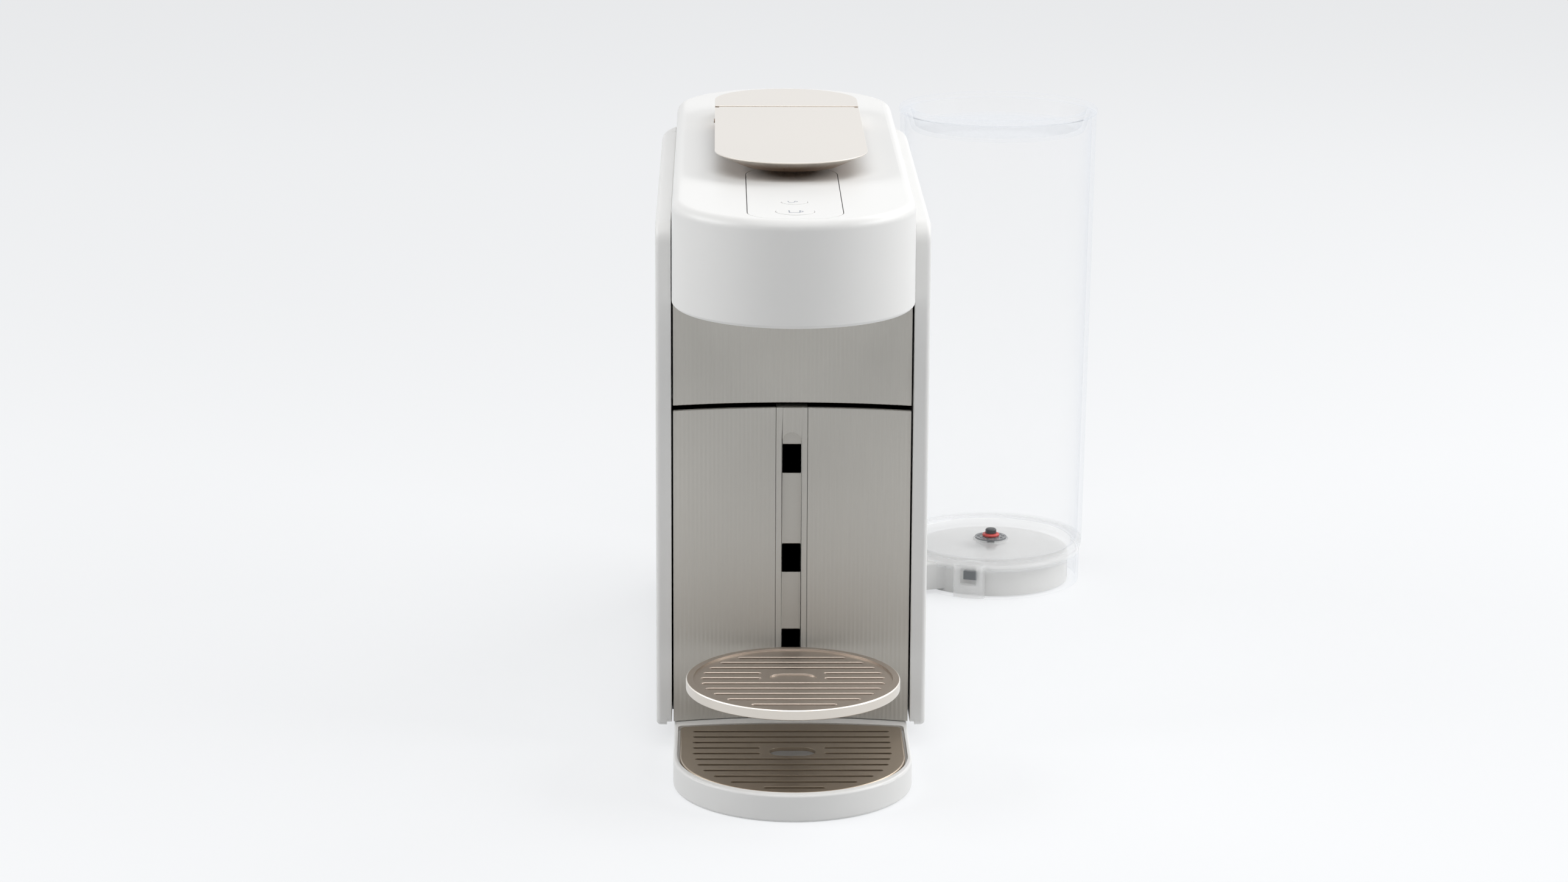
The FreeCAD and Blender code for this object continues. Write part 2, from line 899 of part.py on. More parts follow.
def lid_cover():
    rim_bottom = lid_top - lid_rim
    rim = prism(hull_edges(lid_half, hinge_y, 0), rim_bottom, lid_top)
    lower = Part.Wire(hull_edges(lid_half - lid_bevel_run, hinge_y, lid_underside))
    upper = Part.Wire(hull_edges(lid_half, hinge_y, rim_bottom))
    hull = Part.makeLoft([lower, upper], True, True)
    knuckle_half = lid_half - knuckle_inset
    knuckle = rod_x(knuckle_radius, -knuckle_half, knuckle_half, hinge_y, hinge_z)
    behind = hinge_y + knuckle_radius
    crown = box(-lid_half, lid_half, hinge_y - knuckle_radius, behind, lid_top, lid_top + knuckle_radius)
    knuckle = knuckle.cut(crown)
    lid = rim.fuse([hull, knuckle]).removeSplitter()
    for side in (-1, 1):
        middle = side * (ear_inner + ear_width / 2)
        half = ear_width / 2 + ear_gap
        reach = ear_radius + ear_gap
        behind = hinge_y + knuckle_radius + ear_gap
        room = box(middle - half, middle + half, hinge_y - reach, behind, hinge_z - lid_half, hinge_z + reach)
        lid = lid.cut(room)
    bore = rod_x(pin_radius + pin_fit, -lid_half, lid_half, hinge_y, hinge_z)
    core = rod_x(pin_radius + pin_fit, -pin_inner, pin_inner, hinge_y, hinge_z)
    return lid.cut(bore.cut(core))


def lid_plug():
    bottom = lid_underside - plug_drop
    ease = plug_ease
    return turned(
        [
            (0, bottom - needle_length),
            (needle_radius / 2, bottom - needle_length),
            (needle_radius, bottom),
            (plug_radius - ease, bottom),
            (plug_radius, bottom + ease),
            (plug_radius, lid_underside - ease),
            (plug_radius - ease, lid_underside),
            (0, lid_underside),
        ]
    )


def hinge_pins():
    end = lid_half + pin_proud
    right = rod_x(pin_radius, pin_inner, end, hinge_y, hinge_z)
    return Part.makeCompound([right, mirrored(right)])


def hinge_bracket():
    half = ear_inner + ear_width + ear_radius
    plate_top = hinge_z - knuckle_radius - ear_gap
    plate_bottom = plate_top - bracket_plate
    reach = knuckle_radius + 2 * ear_gap
    front = hinge_y - reach - bracket_pad
    rear = hinge_y + reach + bracket_pad
    bracket = box(-half, half, front, rear, plate_bottom, plate_top)
    for y in (front, rear - bracket_pad):
        bracket = bracket.fuse(box(-half, half, y, y + bracket_pad, plate_top, ceiling))
    for side in (-1, 1):
        inner = side * (ear_inner + ear_width / 2) - ear_width / 2
        stem = box(inner, inner + ear_width, hinge_y - ear_radius, hinge_y + ear_radius, plate_top, hinge_z)
        eye = rod_x(ear_radius, inner, inner + ear_width, hinge_y, hinge_z)
        bracket = bracket.fuse([stem, eye])
    bore = rod_x(pin_radius + pin_fit, -half, half, hinge_y, hinge_z)
    return bracket.removeSplitter().cut(bore)


def cap_edges(half, z):
    front = hinge_y + cap_brow_reach
    front_left = V(-half, front, z)
    front_right = V(half, front, z)
    rear_left = V(-half, cap_rear_centre, z)
    rear_right = V(half, cap_rear_centre, z)
    return [
        line(front_left, front_right),
        line(front_right, rear_right),
        arc(rear_right, V(0, cap_rear_centre + half, z), rear_left),
        line(rear_left, front_left),
    ]


def rear_cap():
    turn = head_top + cap_bevel_height
    lower = Part.Wire(cap_edges(lid_half - cap_bevel_run, head_top))
    upper = Part.Wire(cap_edges(lid_half, turn))
    hull = Part.makeLoft([lower, upper], True, True)
    cap = hull.fuse(prism(cap_edges(lid_half, 0), turn, lid_top)).removeSplitter()
    front = hinge_y + knuckle_radius + cap_gap
    corners = [
        V(-lid_half, hinge_y, lid_top),
        V(-lid_half, hinge_y + cap_brow_reach, lid_top),
        V(-lid_half, front, hinge_z + cap_brow_rise),
        V(-lid_half, front, head_top),
        V(-lid_half, hinge_y, head_top),
    ]
    knuckle_room = Part.Face(Part.makePolygon(corners + corners[:1])).extrude(V(2 * lid_half, 0, 0))
    return cap.cut(knuckle_room)


# Brewing unit
def brew_chamber():
    floor_top = chamber_floor + chamber_wall
    inner = chamber_radius - chamber_wall
    hole = shaft_radius + shaft_fit
    bowl = turned(
        [
            (hole, chamber_floor),
            (chamber_radius, chamber_floor),
            (chamber_radius, ceiling - chamber_wall),
            (chamber_flange, ceiling - chamber_wall),
            (chamber_flange, ceiling),
            (inner, ceiling),
            (inner, floor_top),
            (hole, floor_top),
        ]
    )
    half = duct_half - duct_wall
    low = duct_low() + duct_rise + duct_wall
    high = duct_low() + duct_rise + duct_height - duct_wall
    return bowl.cut(box(-half, half, -chamber_radius, -holder_flange, low, high))


def pod_holder():
    hub_bottom = chamber_floor + chamber_wall + slide_gap
    shaft_end = shelf_top + shaft_gap
    floor_top = holder_bottom + holder_wall
    return turned(
        [
            (0, shaft_end),
            (shaft_radius, shaft_end),
            (shaft_radius, hub_bottom),
            (shaft_hub, hub_bottom),
            (shaft_hub, holder_bottom),
            (holder_bottom_radius + holder_wall, holder_bottom),
            (holder_mouth + holder_wall, holder_top - holder_wall),
            (holder_flange, holder_top - holder_wall),
            (holder_flange, holder_top),
            (holder_mouth, holder_top),
            (holder_bottom_radius, floor_top),
            (0, floor_top),
        ]
    )


def spin_motor():
    top = shelf_top + motor_height
    neck_top = chamber_floor - slide_gap
    bore_end = shelf_top + motor_floor
    bore = shaft_radius + shaft_fit
    return turned(
        [
            (0, shelf_top),
            (motor_radius, shelf_top),
            (motor_radius, top - shaft_hub / 2),
            (motor_radius - shaft_hub / 2, top),
            (shaft_hub, top),
            (shaft_hub, neck_top),
            (bore, neck_top),
            (bore, bore_end),
            (0, bore_end),
        ]
    )


def inner_frame():
    shelf = box(-inner_half, inner_half, backing_y, bulkhead_front, shelf_bottom, shelf_top)
    bulkhead_rear = bulkhead_front + bulkhead_thickness
    bulkhead = box(-inner_half, inner_half, bulkhead_front, bulkhead_rear, deck_top, bulkhead_top)
    return shelf.fuse(bulkhead).removeSplitter()


# Water works and board behind the bulkhead
def pump_heights():
    foot = deck_top + pump_foot
    waist = foot + pump_step
    barrel = waist + pump_waist_height
    shoulder = barrel + pump_step + pump_barrel
    neck = shoulder + pump_step
    return foot, waist, barrel, shoulder, neck, neck + pump_spout


def water_pump():
    foot, waist, barrel, shoulder, neck, top = pump_heights()
    body = turned(
        [
            (0, deck_top),
            (pump_radius, deck_top),
            (pump_radius, foot),
            (pump_waist, waist),
            (pump_waist, barrel),
            (pump_radius, barrel + pump_step),
            (pump_radius, shoulder),
            (pump_neck, neck),
            (hose_radius, neck),
            (hose_radius, top),
            (0, top),
        ],
        pump_x,
        pump_y,
    )
    low = deck_top + coil_rise
    left = pump_x - coil_half
    right = pump_x + coil_half
    coil = box(left, right, pump_y - coil_half, pump_y + coil_half, low, low + coil_height)
    return body.fuse(coil).removeSplitter()


def heater():
    base = deck_top
    top = base + heater_height
    waist = heater_radius - heater_flange
    return turned(
        [
            (0, base),
            (heater_radius, base),
            (heater_radius, base + heater_flange),
            (waist, base + 2 * heater_flange),
            (waist, top - 3 * heater_flange),
            (heater_radius, top - 2 * heater_flange),
            (heater_radius, top - heater_flange),
            (waist, top),
            (0, top),
        ],
        heater_x,
        heater_y,
    )


def hot_hose():
    low = deck_top + heater_height
    high = hinge_z - knuckle_radius - ear_gap - bracket_plate
    return ring(hose_radius, hose_radius - hose_wall, low, high, heater_x, heater_y)


def inlet_hose():
    start = V(0, pivot_y, deck_top)
    end = V(pump_x, pump_y, pump_heights()[-1])
    run = V(end.x - start.x, end.y - start.y, 0)
    across = V(run).normalize()
    crest = end.z + hose_crest
    shoulder = crest - hose_bend
    turn = hose_bend * (1 - math.sqrt(0.5))
    up_end = V(start.x, start.y, shoulder)
    first_middle = up_end + across * turn + V(0, 0, hose_bend - turn)
    first_end = up_end + across * hose_bend + V(0, 0, hose_bend)
    down_start = V(end.x, end.y, shoulder)
    second_start = down_start - across * hose_bend + V(0, 0, hose_bend)
    second_middle = down_start - across * turn + V(0, 0, hose_bend - turn)
    path = Part.Wire(
        [
            line(start, up_end),
            arc(up_end, first_middle, first_end),
            line(first_end, second_start),
            arc(second_start, second_middle, down_start),
            line(down_start, end),
        ]
    )
    section = Part.Wire(Part.makeCircle(hose_radius, start))
    return path.makePipeShell([section], True, False)


def control_board():
    back = bulkhead_front + bulkhead_thickness
    face = back + spacer_height
    top = board_bottom + board_height
    board = box(-board_half, board_half, face, face + board_thickness, board_bottom, top)
    reach = board_half - spacer_inset
    for x in (-reach, reach):
        for z in (board_bottom + spacer_inset, top - spacer_inset):
            board = board.fuse(Part.makeCylinder(spacer_height, spacer_height, V(x, back, z), V(0, 1, 0)))
    rear = face + board_thickness
    relay_top = top - relay_drop
    for x in (relay_first, relay_second):
        half = relay_size / 2
        block = box(x - half, x + half, rear, rear + relay_height, relay_top - relay_size, relay_top)
        board = board.fuse(block)
    return board.removeSplitter()


# Swinging arm and water tank
def tank_arm():
    hub = rod(hub_radius, arm_bottom, arm_top, 0, pivot_y)
    neck = box(-arm_width / 2, arm_width / 2, 0, arm_reach, arm_bottom, arm_top)
    root = box(-arm_width / 2, arm_width / 2, arm_root, arm_reach, arm_bottom, puck_top)
    for bar in (neck, root):
        bar.rotate(V(0, 0, 0), V(0, 0, 1), -arm_angle)
        bar.translate(V(0, pivot_y, 0))
    puck = rod(puck_radius, glide_height, puck_top, puck_x, puck_y).fuse(root).removeSplitter()
    puck = puck.makeFillet(puck_edge, edges_at_height(puck, puck_top))
    arm = hub.fuse([neck, puck]).removeSplitter()
    arm = arm.cut(rod(pivot_radius + pivot_fit, arm_bottom, arm_top, 0, pivot_y))
    pocket_floor = puck_top - valve_pocket_depth
    pocket = rod(valve_pocket_radius, pocket_floor, puck_top, puck_x, puck_y)
    pin = rod(stem_radius, pocket_floor, stem_bottom() - plunger_gap, puck_x, puck_y)
    return arm.cut(pocket).fuse(pin).removeSplitter()


def around_puck(radius, degrees):
    angle = math.radians(degrees)
    return puck_x + radius * math.cos(angle), puck_y + radius * math.sin(angle)


def arm_glides():
    places = [around_puck(glide_ring, step * 360 / glide_count) for step in range(glide_count)]
    return Part.makeCompound([rod(glide_radius, 0, glide_height, x, y) for x, y in places])


def tank_radius(z):
    return tank_bottom_radius + (tank_top_radius - tank_bottom_radius) * z / tank_top


def stem_bottom():
    return tank_floor_bottom + stem_recess


def base_curve():
    turn = math.acos(1 - skirt_inset / base_round)
    points = []
    for step in range(base_round_steps, -1, -1):
        angle = turn * step / base_round_steps
        z = tank_floor_bottom + base_round * (1 - math.sin(angle))
        points.append((tank_radius(z) - base_round * (1 - math.cos(angle)), z))
    return points


def water_tank():
    low = skirt_clearance
    round_top = tank_floor_top + tank_floor_round
    round_in = tank_radius(tank_floor_top) - tank_wall - tank_floor_round
    eased = tank_floor_round * (1 - math.sqrt(0.5))
    tank = turned(
        [
            (tank_radius(low) - skirt_inset, low),
            *base_curve(),
            (tank_radius(tank_top), tank_top),
            (tank_radius(tank_top) - tank_wall, tank_top),
            (tank_radius(round_top) - tank_wall, round_top),
            (tank_radius(tank_floor_top + eased) - tank_wall - eased, tank_floor_top + eased),
            (round_in, tank_floor_top),
            (valve_boss_radius, tank_floor_top),
            (valve_boss_radius, tank_floor_top + valve_boss_height),
            (stem_radius + stem_gap, tank_floor_top + valve_boss_height),
            (stem_radius + stem_gap, tank_floor_bottom),
            (tank_radius(tank_floor_bottom) - skirt_inset - skirt_wall, tank_floor_bottom),
            (tank_radius(low) - skirt_inset - skirt_wall, low),
        ],
        puck_x,
        puck_y,
    )
    lug_top = tank_floor_bottom
    shell = tank_radius(low) - skirt_inset - skirt_wall / 2
    inside = shell - skirt_wall / 2 - lug_thickness
    half = lug_width / 2
    for step in range(lug_count):
        lug = box(inside, shell, -half, half, lug_top - lug_height, lug_top)
        lug.rotate(V(0, 0, 0), V(0, 0, 1), lug_angle + step * 360 / lug_count)
        lug.translate(V(puck_x, puck_y, 0))
        tank = tank.fuse(lug)
    half = arm_width / 2 + gate_gap
    gate = box(-half, half, -tank_top_radius, 0, 0, tank_floor_bottom)
    gate.rotate(V(0, 0, 0), V(0, 0, 1), -arm_angle)
    gate.translate(V(puck_x, puck_y, 0))
    return tank.cut(gate).removeSplitter()


def tank_catch():
    low = tank_floor_bottom - (lug_height + catch_height) / 2
    root = puck_radius - catch_reach / 2
    tip = puck_radius + catch_reach
    block = box(root, tip, -catch_width / 2, catch_width / 2, low, low + catch_height)
    block.rotate(V(0, 0, 0), V(0, 0, 1), lug_angle + catch_turn)
    block.translate(V(puck_x, puck_y, 0))
    return block.cut(rod(puck_radius, 0, puck_top, puck_x, puck_y))


def tank_lid():
    seat = tank_top + lid_seat_gap
    top = seat + lid_lip_height
    ease = lid_sheet / 3
    floor = top - lid_recess_depth
    plug = tank_top_radius - tank_wall - lid_seat_gap * 2
    return turned(
        [
            (0, floor - lid_sheet),
            (lid_recess_radius, floor - lid_sheet),
            (plug, seat),
            (lid_lip_radius, seat),
            (lid_lip_radius, top - ease),
            (lid_lip_radius - ease, top),
            (plug - lid_sheet, top),
            (lid_recess_radius - lid_sheet, floor),
            (0, floor),
        ],
        puck_x,
        puck_y,
    )


def valve_ring():
    low = tank_floor_top + valve_boss_height
    high = low + valve_ring_height
    plate = ring(valve_ring_radius, stem_radius + stem_gap, low, high, puck_x, puck_y)
    hole = (valve_ring_radius - valve_seal_radius) / 4
    middle = (valve_ring_radius + valve_seal_radius) / 2
    spots = [around_puck(middle, step * 360 / valve_hole_count) for step in range(valve_hole_count)]
    return plate.cut([rod(hole, low, high, x, y) for x, y in spots])


def valve_seal():
    low = tank_floor_top + valve_boss_height + valve_ring_height
    high = low + valve_seal_height
    ease = valve_seal_height / 3
    hole = stem_radius + stem_gap
    return turned(
        [
            (hole, low),
            (valve_seal_radius - ease, low),
            (valve_seal_radius, low + ease),
            (valve_seal_radius, high - ease),
            (valve_seal_radius - ease, high),
            (hole, high),
        ],
        puck_x,
        puck_y,
    )


def valve_plunger():
    low = tank_floor_top + valve_boss_height + valve_ring_height + valve_seal_height + rest_gap
    high = low + plunger_height
    ease = plunger_height / 4
    return turned(
        [
            (0, stem_bottom()),
            (stem_radius, stem_bottom()),
            (stem_radius, low),
            (plunger_radius, low),
            (plunger_radius, high - ease),
            (plunger_radius - ease, high),
            (0, high),
        ],
        puck_x,
        puck_y,
    )


os.makedirs("parts", exist_ok=True)
save("base_plate", base_plate())
save("foot_ring", foot_ring())
save("pivot_foot", rod(pivot_foot_radius, 0, foot_height, 0, pivot_y))
save("right_panel", right_panel())
save("left_panel", mirrored(right_panel()))
save("right_cheek", right_cheek())
save("left_cheek", mirrored(right_cheek()))
save("rear_cover", rear_cover())
save("cord_gland", cord_gland())
save("inner_frame", inner_frame())
save("upper_front", upper_front())
save("container_front", container_front())
save("hook_rail", hook_rail())
save("container_bin", container_bin())
save("cup_disc", cup_disc())
save("cup_bracket", cup_bracket())
save("drip_tray", drip_tray())
save("drip_grid", drip_grid())
save("head_housing", head_housing())
save("head_floor", head_floor())
save("coffee_outlet", coffee_outlet())
save("coffee_duct", coffee_duct())
save("button_panel", button_panel())
save("key_board", key_board())
save("large_key", push_key(large_key_radius, large_key_y))
save("small_key", push_key(small_key_radius, small_key_y))
save("indicator_lens", indicator_lens())
save("lid_cover", lid_cover())
save("lid_plug", lid_plug())
save("hinge_pins", hinge_pins())
save("hinge_bracket", hinge_bracket())
save("rear_cap", rear_cap())
save("brew_chamber", brew_chamber())
save("pod_holder", pod_holder())
save("spin_motor", spin_motor())
save("water_pump", water_pump())
save("heater", heater())
save("hot_hose", hot_hose())
save("inlet_hose", inlet_hose())
save("control_board", control_board())
save("tank_arm", tank_arm())
save("arm_glides", arm_glides())
save("tank_catch", tank_catch())
save("water_tank", water_tank())
save("tank_lid", tank_lid())
save("valve_ring", valve_ring())
save("valve_seal", valve_seal())
save("valve_plunger", valve_plunger())
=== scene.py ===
import json
import math

import bpy
from bpy.props import FloatProperty, FloatVectorProperty, PointerProperty
from mathutils import Matrix, Vector


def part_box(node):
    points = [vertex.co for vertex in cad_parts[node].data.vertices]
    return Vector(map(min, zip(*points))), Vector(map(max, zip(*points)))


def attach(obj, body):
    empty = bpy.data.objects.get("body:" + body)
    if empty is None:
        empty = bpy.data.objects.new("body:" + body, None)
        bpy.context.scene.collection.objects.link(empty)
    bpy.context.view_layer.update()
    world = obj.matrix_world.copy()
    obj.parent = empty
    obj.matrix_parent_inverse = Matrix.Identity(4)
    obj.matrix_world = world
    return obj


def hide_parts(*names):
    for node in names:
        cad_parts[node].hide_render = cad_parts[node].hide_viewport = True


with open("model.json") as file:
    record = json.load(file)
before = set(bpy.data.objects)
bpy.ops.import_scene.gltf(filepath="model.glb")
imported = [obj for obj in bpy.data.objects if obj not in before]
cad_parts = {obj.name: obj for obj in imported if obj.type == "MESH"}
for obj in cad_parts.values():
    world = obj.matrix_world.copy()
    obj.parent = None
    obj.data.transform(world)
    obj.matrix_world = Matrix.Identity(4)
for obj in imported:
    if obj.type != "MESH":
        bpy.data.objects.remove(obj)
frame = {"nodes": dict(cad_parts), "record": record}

bl_info = {
    "name": "Pod coffee machine",
    "version": (1, 0, 0),
    "blender": (4, 5, 0),
    "location": "View3D > Sidebar > Coffee",
    "description": "Dresses the solids of a pod coffee machine with finishes, soft edges and a studio",
    "category": "Object",
}

MM = 0.001

# Mesh clean-up: points this near are merged, shorter edges vanish, flatter folds are joined
MERGE = 0.002 * MM
SLIVER = 0.001 * MM
FLAT_ANGLE = math.radians(0.5)

# An edge whose two ends stray less than this from a plane lies on it
ON_FACE = 0.05 * MM

# Lid, cup disc and hook rail, for their masks and for the choice of edges
LID_RIM = 0.5 * MM
LID_HULL = 4.5 * MM
DISC_RIM = 0.8 * MM
DISC_WALL = 0.6 * MM
DISC_FLOOR_RADIUS = 42.0 * MM
DISH_HALF = (10.4 * MM, 6.0 * MM)
DISH_SHIFT = 3.0 * MM
RAIL_HALF = 9.0 * MM
SLOT_HALF = 5.0 * MM

# Foot of the tank, for its mask: the floor above the plunger's end, and the lugs round the catch
PLUNGER_FOOT = 1.4 * MM
FOOT_INSIDE = 42.0 * MM
LUG_INSIDE = 5.8 * MM
LUG_OUTSIDE = 9.0 * MM
LUG_BOTTOM = -11.4 * MM
LUG_FADE = 0.8 * MM

# Print on the keys
INK_DEPTH = 0.03 * MM

# Pale floor and surround; the floor's share of glow grows from the middle outwards
FLOOR_COLOUR = (0.80, 0.81, 0.82, 1.0)
FLOOR_GLOW = (0.975, 0.985, 1.0, 1.0)
SURROUND_COLOUR = (0.93, 0.94, 0.955, 1.0)
GLOW_REACH = (0.25, 1.6)
GLOW_SHARE = (0.66, 0.80)

# Name, place, target, size in metres and power in watts of each lamp
LAMPS = (
    ("front_box", (0.0, -0.75, 1.45), (0, 0, 0.15), (1.4, 0.8), 9.7),
    ("overhead", (0.0, 0.0, 1.8), (0, 0, 0.1), (1.2, 1.2), 3.0),
    ("left_box", (-1.45, -0.1, 0.95), (0, 0, 0.15), (1.2, 0.6), 13.6),
    ("right_box", (1.45, -0.1, 0.95), (0, 0, 0.15), (1.2, 0.6), 15.0),
    ("rear_box", (1.0, 0.9, 1.4), (0.1, 0.1, 0.1), (1.0, 1.0), 11.0),
)


def middle_of(node):
    low, high = (Vector(corner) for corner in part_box(node))
    return (low + high) / 2


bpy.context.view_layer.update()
NODES = frame["nodes"]
BODIES = frame["record"]["behaviour"]["bodies"]
BODY_OF = {node: body for body, nodes in BODIES.items() for node in nodes}
TANK_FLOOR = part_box("valve_plunger")[0][2] + PLUNGER_FOOT
CATCH = middle_of("tank_catch")
TANK_AXIS = middle_of("water_tank")
DISC_AXIS = middle_of("cup_disc")
DISC_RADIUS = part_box("cup_disc")[1][0]
DISC_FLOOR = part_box("cup_disc")[1][2] - DISC_RIM
SEAM_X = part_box("right_cheek")[1][0]
HEAD_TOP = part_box("head_housing")[1][2]
LID_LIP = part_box("lid_cover")[1][2] - LID_RIM
KEY_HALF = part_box("button_panel")[1][0]
FRONT_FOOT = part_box("container_front")[0][2]


# Shader wiring


class Wire:
    """One output socket of a material, with arithmetic on values."""

    def __init__(self, graph, socket):
        self.graph = graph
        self.socket = socket

    def math(self, operation, first, second):
        return self.graph.node("ShaderNodeMath", {"operation": operation}, {0: first, 1: second})

    def __add__(self, other):
        return self.math("ADD", self, other)

    __radd__ = __add__

    def __sub__(self, other):
        return self.math("SUBTRACT", self, other)

    def __rsub__(self, other):
        return self.math("SUBTRACT", other, self)

    def __mul__(self, other):
        return self.math("MULTIPLY", self, other)

    __rmul__ = __mul__

    def __pow__(self, other):
        return self.math("POWER", self, other)

    def at_least(self, other):
        return self.math("MAXIMUM", self, other)


class Graph:
    """The node tree of one material or world, wired with Python expressions."""

    def __init__(self, owner):
        owner.use_nodes = True
        self.tree = owner.node_tree
        self.tree.nodes.clear()

    def node(self, kind, settings=None, sockets=None, output=0):
        made = self.tree.nodes.new(kind)
        for key, value in (settings or {}).items():
            setattr(made, key, value)
        for key, value in (sockets or {}).items():
            if isinstance(value, Wire):
                self.tree.links.new(value.socket, made.inputs[key])
            else:
                made.inputs[key].default_value = value
        return Wire(self, made.outputs[output])

    def place(self):
        return self.node("ShaderNodeTexCoord", output="Object")

    def noise(self, scale, detail):
        sockets = {"Vector": self.place(), "Scale": scale, "Detail": detail}
        return self.node("ShaderNodeTexNoise", None, sockets)

    def vector(self, operation, first, second):
        return self.node("ShaderNodeVectorMath", {"operation": operation}, {0: first, 1: second})

    def length(self, vector):
        return self.node("ShaderNodeVectorMath", {"operation": "LENGTH"}, {0: vector}, "Value")

    def height(self):
        return self.node("ShaderNodeSeparateXYZ", None, {"Vector": self.place()}, "Z")

    def slant(self):
        return self.node("ShaderNodeLayerWeight", None, {"Blend": 0.5}, "Facing")

    def from_axis(self, centre):
        """How far a point lies from the upright line through a centre."""
        offset = self.vector("SUBTRACT", self.place(), tuple(centre))
        return self.length(self.vector("MULTIPLY", offset, (1, 1, 0)))

    def ramp(self, value, start, end, low=0.0, high=1.0):
        sockets = {"Value": value, "From Min": start, "From Max": end, "To Min": low, "To Max": high}
        return self.node("ShaderNodeMapRange", {"interpolation_type": "SMOOTHSTEP"}, sockets)

    def tint(self, share, low, high):
        settings = {"data_type": "RGBA"}
        return self.node("ShaderNodeMix", settings, {0: share, 6: opaque(low), 7: opaque(high)}, 2)

    def bump(self, height, strength, depth):
        sockets = {"Height": height, "Strength": strength, "Distance": depth}
        return self.node("ShaderNodeBump", None, sockets)

    def surface(self, **sockets):
        """A Principled surface; ior and base_color name the sockets IOR and Base Color."""
        labels = {key: key.replace("_", " ").title().replace("Ior", "IOR") for key in sockets}
        named = {labels[key]: value for key, value in sockets.items()}
        self.finish_with(self.node("ShaderNodeBsdfPrincipled", None, named))

    def finish_with(self, shader):
        made = self.tree.nodes.new("ShaderNodeOutputMaterial")
        self.tree.links.new(shader.socket, made.inputs["Surface"])


def opaque(colour):
    return colour if isinstance(colour, Wire) else tuple(colour)[:3] + (1.0,)


def shaded(colour, share):
    return tuple(channel * share for channel in tuple(colour)[:3])


def new_material(name):
    material = bpy.data.materials.new(name)
    return material, Graph(material)


# Settings that a user would change


class FinishSettings(bpy.types.PropertyGroup):
    """Colours and surface detail of the machine; some colours are painted shade, painted highlight and
    painted reflection.
    """

    def colour(label, default):
        return FloatVectorProperty(
            name=label, description=label, subtype="COLOR", size=3, default=default, min=0, max=1
        )

    white: colour("Warm white of the shells", (0.80, 0.797, 0.785))
    ribbed: colour("Grey of the ribbed front", (0.61, 0.592, 0.55))
    champagne: colour("Champagne of the lid and disc", (0.70, 0.655, 0.595))
    # Partly the grid's own warm tone, partly painted shade: darkened to stand in for the shade and dark
    # reflection under the cup disc.
    taupe_and_shade: colour("Taupe of the drip grid", (0.36, 0.29, 0.215))
    # Painted shade and painted reflection: a darker, browner copy of the champagne for the top of the
    # cup disc, which the head shades.
    disc: colour("Top of the cup disc", (0.40, 0.335, 0.28))
    # Painted shade: a darker, browner copy of the champagne on the lid's underside, where shade falls
    # under the lid.
    hull_shade: colour("Underside of the lid", (0.38, 0.25, 0.15))
    clear: colour("Clear tank seen straight on", (0.93, 0.95, 0.97))
    # Painted reflection: the bluish tint of the clear tank seen edge on.
    clear_edge_reflection: colour("Clear tank seen edge on", (0.62, 0.70, 0.82))
    # Partly the thick plastic of the tank's foot, partly painted highlight; on the floor it also covers
    # the shade under the valve.
    thick_foot_and_highlight: colour("Thick foot of the tank", (0.97, 0.97, 0.97))
    smoke: colour("Smoked valve ring, dark streaks", (0.16, 0.17, 0.18))
    smoke_pale: colour("Smoked valve ring, pale streaks", (0.34, 0.35, 0.36))
    dark: colour("Dark moulded plastic", (0.035, 0.035, 0.038))
    seal: colour("Red valve seal", (0.62, 0.06, 0.05))
    ink: colour("Grey print on the keys", (0.33, 0.35, 0.40))
    grain: FloatProperty(
        name="Grain", description="Spark grain per metre", default=2400.0, min=100.0, max=9000.0
    )
    edge: FloatProperty(
        name="Edge radius", description="Softness of moulded edges",
        subtype="DISTANCE", unit="LENGTH", default=0.35 * MM,
    )


class StudioSettings(bpy.types.PropertyGroup):
    """Camera, floor and lights."""

    camera: FloatVectorProperty(
        name="Camera", description="Where the camera stands",
        size=3, subtype="TRANSLATION", unit="LENGTH", default=(-0.03246, -1.80731, 0.55975),
    )
    pitch: FloatProperty(
        name="Pitch", description="Camera tilt below level",
        subtype="ANGLE", default=math.radians(13.883),
    )
    yaw: FloatProperty(
        name="Yaw", description="Camera turn to the right",
        subtype="ANGLE", default=math.radians(0.979),
    )
    roll: FloatProperty(
        name="Roll", description="Camera roll",
        subtype="ANGLE", default=math.radians(0.274),
    )
    lens: FloatProperty(name="Lens", description="Focal length in millimetres", default=90.84, min=10.0)
    floor_size: FloatProperty(
        name="Floor", description="Half width of the floor",
        subtype="DISTANCE", unit="LENGTH", default=6.0,
    )
    ambient: FloatProperty(name="Ambient", description="Light from all round", default=0.06, min=0.0)


# Pieces made from the frame's nodes


def deselect():
    if bpy.context.mode != "OBJECT":
        bpy.ops.object.mode_set(mode="OBJECT")
    bpy.ops.object.select_all(action="DESELECT")


def coat(node, material):
    part = NODES[node]
    part.data.materials.clear()
    part.data.materials.append(material)


def copy_of(node):
    """A free copy of a node's mesh, with its doubles merged and its flats joined."""
    deselect()
    source = NODES[node]
    source.select_set(True)
    bpy.context.view_layer.objects.active = source
    bpy.ops.object.duplicate()
    piece = bpy.context.view_layer.objects.active
    piece.name = node + "_finish"
    for key in [key for key in piece.keys() if key.startswith("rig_")]:
        del piece[key]
    piece.parent = None
    bpy.ops.object.mode_set(mode="EDIT")
    bpy.ops.mesh.select_mode(type="EDGE")
    bpy.ops.mesh.select_all(action="SELECT")
    bpy.ops.mesh.remove_doubles(threshold=MERGE)
    bpy.ops.mesh.dissolve_limited(angle_limit=FLAT_ANGLE)
    return piece


